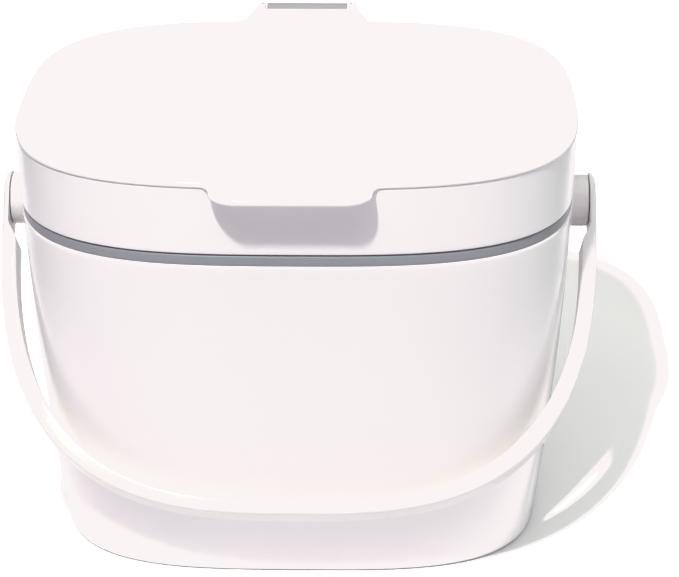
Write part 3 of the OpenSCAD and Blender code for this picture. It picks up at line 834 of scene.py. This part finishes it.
def make_floor():
    """A white table that burns out to white around the object's shadow, as in the photograph."""
    n, half = 24, 4.0
    me = bpy.data.meshes.new("floor")
    g = np.linspace(-half, half, n + 1)
    v = [(x, y, -0.0002) for y in g for x in g]
    f = [(j * (n + 1) + i, j * (n + 1) + i + 1, (j + 1) * (n + 1) + i + 1, (j + 1) * (n + 1) + i) for j in range(n) for i in range(n)]
    me.from_pydata(v, [], f)
    o = bpy.data.objects.new("studio_floor", me)
    COL.objects.link(o)
    m, nt, bsdf = nodes_of("studio_table")
    co = nt.nodes.new("ShaderNodeTexCoord")
    sep = nt.nodes.new("ShaderNodeSeparateXYZ")
    nt.links.new(co.outputs["Object"], sep.inputs[0])
    x, y = sep.outputs[0], sep.outputs[1]
    reach = maths(nt, "SQRT", maths(nt, "ADD", maths(nt, "MULTIPLY", x, x), maths(nt, "MULTIPLY", y, y)))
    near = maths(nt, "SUBTRACT", 1.0, step_up(nt, reach, 0.18, 0.30))
    # the ellipse in which the object's shadow lies: no glow there, so that the shadow keeps its depth
    dx = maths(nt, "DIVIDE", maths(nt, "SUBTRACT", x, 0.045), 0.108)
    dy = maths(nt, "DIVIDE", maths(nt, "SUBTRACT", y, 0.100), 0.160)
    outside = step_up(nt, maths(nt, "ADD", maths(nt, "MULTIPLY", dx, dx), maths(nt, "MULTIPLY", dy, dy)), 0.85, 1.25)
    beside = maths(nt, "MAXIMUM", step_up(nt, maths(nt, "ABSOLUTE", x), 0.075, 0.115), step_up(nt, y, -0.075, -0.045))
    lit = maths(nt, "MULTIPLY", maths(nt, "MULTIPLY", near, step_up(nt, y, -0.115, -0.075)), maths(nt, "MULTIPLY", outside, beside))
    aside = maths(nt, "SUBTRACT", 1.0, step_up(nt, maths(nt, "ABSOLUTE", x), 0.24, 0.38))
    depth = maths(nt, "MULTIPLY", step_up(nt, y, 0.05, 0.22), maths(nt, "SUBTRACT", 1.0, step_up(nt, y, 0.8, 1.1)))
    back = maths(nt, "MULTIPLY", maths(nt, "MULTIPLY", aside, depth), maths(nt, "SUBTRACT", 1.0, near))
    r = nt.nodes.new("ShaderNodeValToRGB")
    r.color_ramp.elements[0].color = (0.30, 0.30, 0.30, 1)
    r.color_ramp.elements[1].color = (0.85, 0.848, 0.845, 1)
    grain = ranged(nt, noise(nt, co.outputs["Object"], 3, 2), 0.975, 1.0)
    fore = maths(nt, "ADD", maths(nt, "MULTIPLY", step_up(nt, y, -0.115, -0.078), 0.5), 0.5)
    nt.links.new(maths(nt, "MULTIPLY", maths(nt, "ADD", maths(nt, "MULTIPLY", near, fore), back), grain), r.inputs["Fac"])
    seen = nt.nodes.new("ShaderNodeLightPath").outputs["Is Camera Ray"]
    table = nt.nodes.new("ShaderNodeVectorMath")
    table.operation = "SCALE"
    nt.links.new(r.outputs["Color"], table.inputs[0])
    nt.links.new(maths(nt, "ADD", maths(nt, "MULTIPLY", seen, 1.0 - BOUNCE), BOUNCE), table.inputs["Scale"])
    nt.links.new(table.outputs[0], bsdf.inputs["Base Color"])
    bsdf.inputs["Roughness"].default_value = 0.9
    bsdf.inputs["Specular IOR Level"].default_value = 0.0
    # what the picture shows of the table outside the shadow and the foot's own contact shade is blown out to white;
    # what lights the object is the gentler glow
    u = maths(nt, "POWER", maths(nt, "DIVIDE", maths(nt, "ABSOLUTE", x), BASE_A * 0.001), BASE_N)
    v = maths(nt, "POWER", maths(nt, "DIVIDE", maths(nt, "ABSOLUTE", y), BASE_B * 0.001), BASE_N)
    beyond = step_up(nt, maths(nt, "ADD", maths(nt, "MULTIPLY", dx, dx), maths(nt, "MULTIPLY", dy, dy)), 1.02, 1.30)
    white = maths(nt, "MULTIPLY", beyond, step_up(nt, maths(nt, "ADD", u, v), 0.98, 1.40))
    unseen = maths(nt, "SUBTRACT", 1.0, seen)
    lit, back = maths(nt, "MULTIPLY", lit, unseen), maths(nt, "MULTIPLY", maths(nt, "MULTIPLY", back, outside), unseen)
    glow = [scaled(nt, GLOW_NEAR, lit, "glow_near"), scaled(nt, GLOW_BACK, back, "glow_back"), scaled(nt, GLOW_SEEN, maths(nt, "MULTIPLY", white, seen), "glow_seen")]
    nt.links.new(summed(nt, glow), bsdf.inputs["Emission Color"])
    bsdf.inputs["Emission Strength"].default_value = 1.0
    give(o, m)


def make_light():
    """A soft tent, brightest overhead, with one small key light from the front left above, stronger on the table."""
    w = bpy.data.worlds.new("studio")
    bpy.context.scene.world = w
    w.use_nodes = True
    nt = w.node_tree
    nt.nodes.clear()
    out = nt.nodes.new("ShaderNodeOutputWorld")
    bg = nt.nodes.new("ShaderNodeBackground")
    nt.links.new(bg.outputs[0], out.inputs[0])
    co = nt.nodes.new("ShaderNodeTexCoord")
    sep = nt.nodes.new("ShaderNodeSeparateXYZ")
    nt.links.new(co.outputs["Generated"], sep.inputs[0])
    x, y, z = sep.outputs
    above, crown = step_up(nt, z, 0.12, 0.42), step_up(nt, z, 0.55, 0.85)
    band = {"low": maths(nt, "SUBTRACT", 1.0, above), "mid": maths(nt, "SUBTRACT", above, crown), "top": crown}
    flat = maths(nt, "ADD", maths(nt, "ADD", maths(nt, "MULTIPLY", x, x), maths(nt, "MULTIPLY", y, y)), 1e-6)
    side = {"front": (y, -1.0), "back": (y, 1.0), "right": (x, 1.0), "left": (x, -1.0)}
    parts = []
    for (height, towards), colour in TENT.items():
        share = band[height]
        if towards:
            axis, sign = side[towards]
            p = maths(nt, "MAXIMUM", maths(nt, "MULTIPLY", axis, sign), 0.0)
            share = maths(nt, "MULTIPLY", maths(nt, "DIVIDE", maths(nt, "MULTIPLY", p, p), flat), share)
        parts.append(scaled(nt, colour, share))
    # the tent's colours light the scene; seen past the table's edge it is plain white
    mix = nt.nodes.new("ShaderNodeMix")
    mix.data_type = "RGBA"
    nt.links.new(nt.nodes.new("ShaderNodeLightPath").outputs["Is Camera Ray"], mix.inputs[0])
    nt.links.new(summed(nt, parts), mix.inputs[6])
    mix.inputs[7].default_value = (1.7, 1.7, 1.7, 1)
    nt.links.new(mix.outputs[2], bg.inputs["Color"])
    for name, size, power, tint in (("key", 0.06, KEY_POWER, KEY_TINT), ("key_table", 0.045, TABLE_POWER, (1.0, 1.0, 1.0))):
        key = bpy.data.lights.new(name, "AREA")
        key.shape, key.size, key.energy, key.color = "DISK", size, power, tint
        o = bpy.data.objects.new(name, key)
        o.location = (-0.140, -0.515, 0.840)
        o.rotation_mode = "QUATERNION"
        o.rotation_quaternion = (Vector((0, 0, 0.06)) - o.location).to_track_quat("-Z", "Y")
        COL.objects.link(o)
        if name == "key_table":  # burns the table out to white, outside the object's own shadow
            only = bpy.data.collections.new("table_only")
            only.objects.link(bpy.data.objects["studio_floor"])
            o.light_linking.receiver_collection = only


def make_tone():
    """The camera's response: straight up to the knee, level over the whites, and pure white past them."""
    vs = bpy.context.scene.view_settings
    vs.view_transform, vs.look, vs.exposure, vs.gamma = "Standard", "None", 0.0, 1.0
    vs.use_curve_mapping = True
    cm = vs.curve_mapping
    cm.white_level = (SPAN, SPAN, SPAN)
    for level, curve in zip(LEVEL, cm.curves):
        pts = [(0.0, 0.0)]
        for u in np.linspace(0, 1, 9):
            y = KNEE * (2 * u ** 3 - 3 * u ** 2 + 1) + (FLAT - KNEE) * (u ** 3 - 2 * u ** 2 + u) + level * (3 * u ** 2 - 2 * u ** 3)
            pts.append((KNEE + (FLAT - KNEE) * u, y))
        for x in np.linspace(RISE, PURE, 7):
            pts.append((x, level + (1 - level) * float(smooth((x - RISE) / (PURE - RISE)))))
        pts.append((SPAN, 1.0))
        curve.points[0].location = (0.0, 0.0)
        curve.points[1].location = (1.0, 1.0)
        for x, y in pts[1:-1]:
            curve.points.new(x / SPAN, y)
        for p in curve.points:
            p.handle_type = "VECTOR"
    cm.update()


def make_camera():
    cam = bpy.data.cameras.new("view")
    cam.sensor_width, cam.sensor_fit = 36.0, "HORIZONTAL"
    cam.lens = 2178.96 * 36.0 / 679.0
    cam.clip_start, cam.clip_end = 0.05, 30
    o = bpy.data.objects.new("view", cam)
    COL.objects.link(o)
    pan, tilt, roll = -0.0187, -0.4561, -0.0032
    fw = Vector((math.sin(pan) * math.cos(tilt), math.cos(pan) * math.cos(tilt), math.sin(tilt)))
    r0 = Vector((math.cos(pan), -math.sin(pan), 0))
    u0 = r0.cross(fw)
    r = math.cos(roll) * r0 + math.sin(roll) * u0
    u = -math.sin(roll) * r0 + math.cos(roll) * u0
    m = Matrix((r, u, -fw)).transposed().to_4x4()
    m.translation = Vector((0.02754, -0.71728, 0.43064))
    o.matrix_world = m
    bpy.context.scene.camera = o


make_floor()
make_light()
make_camera()
make_tone()
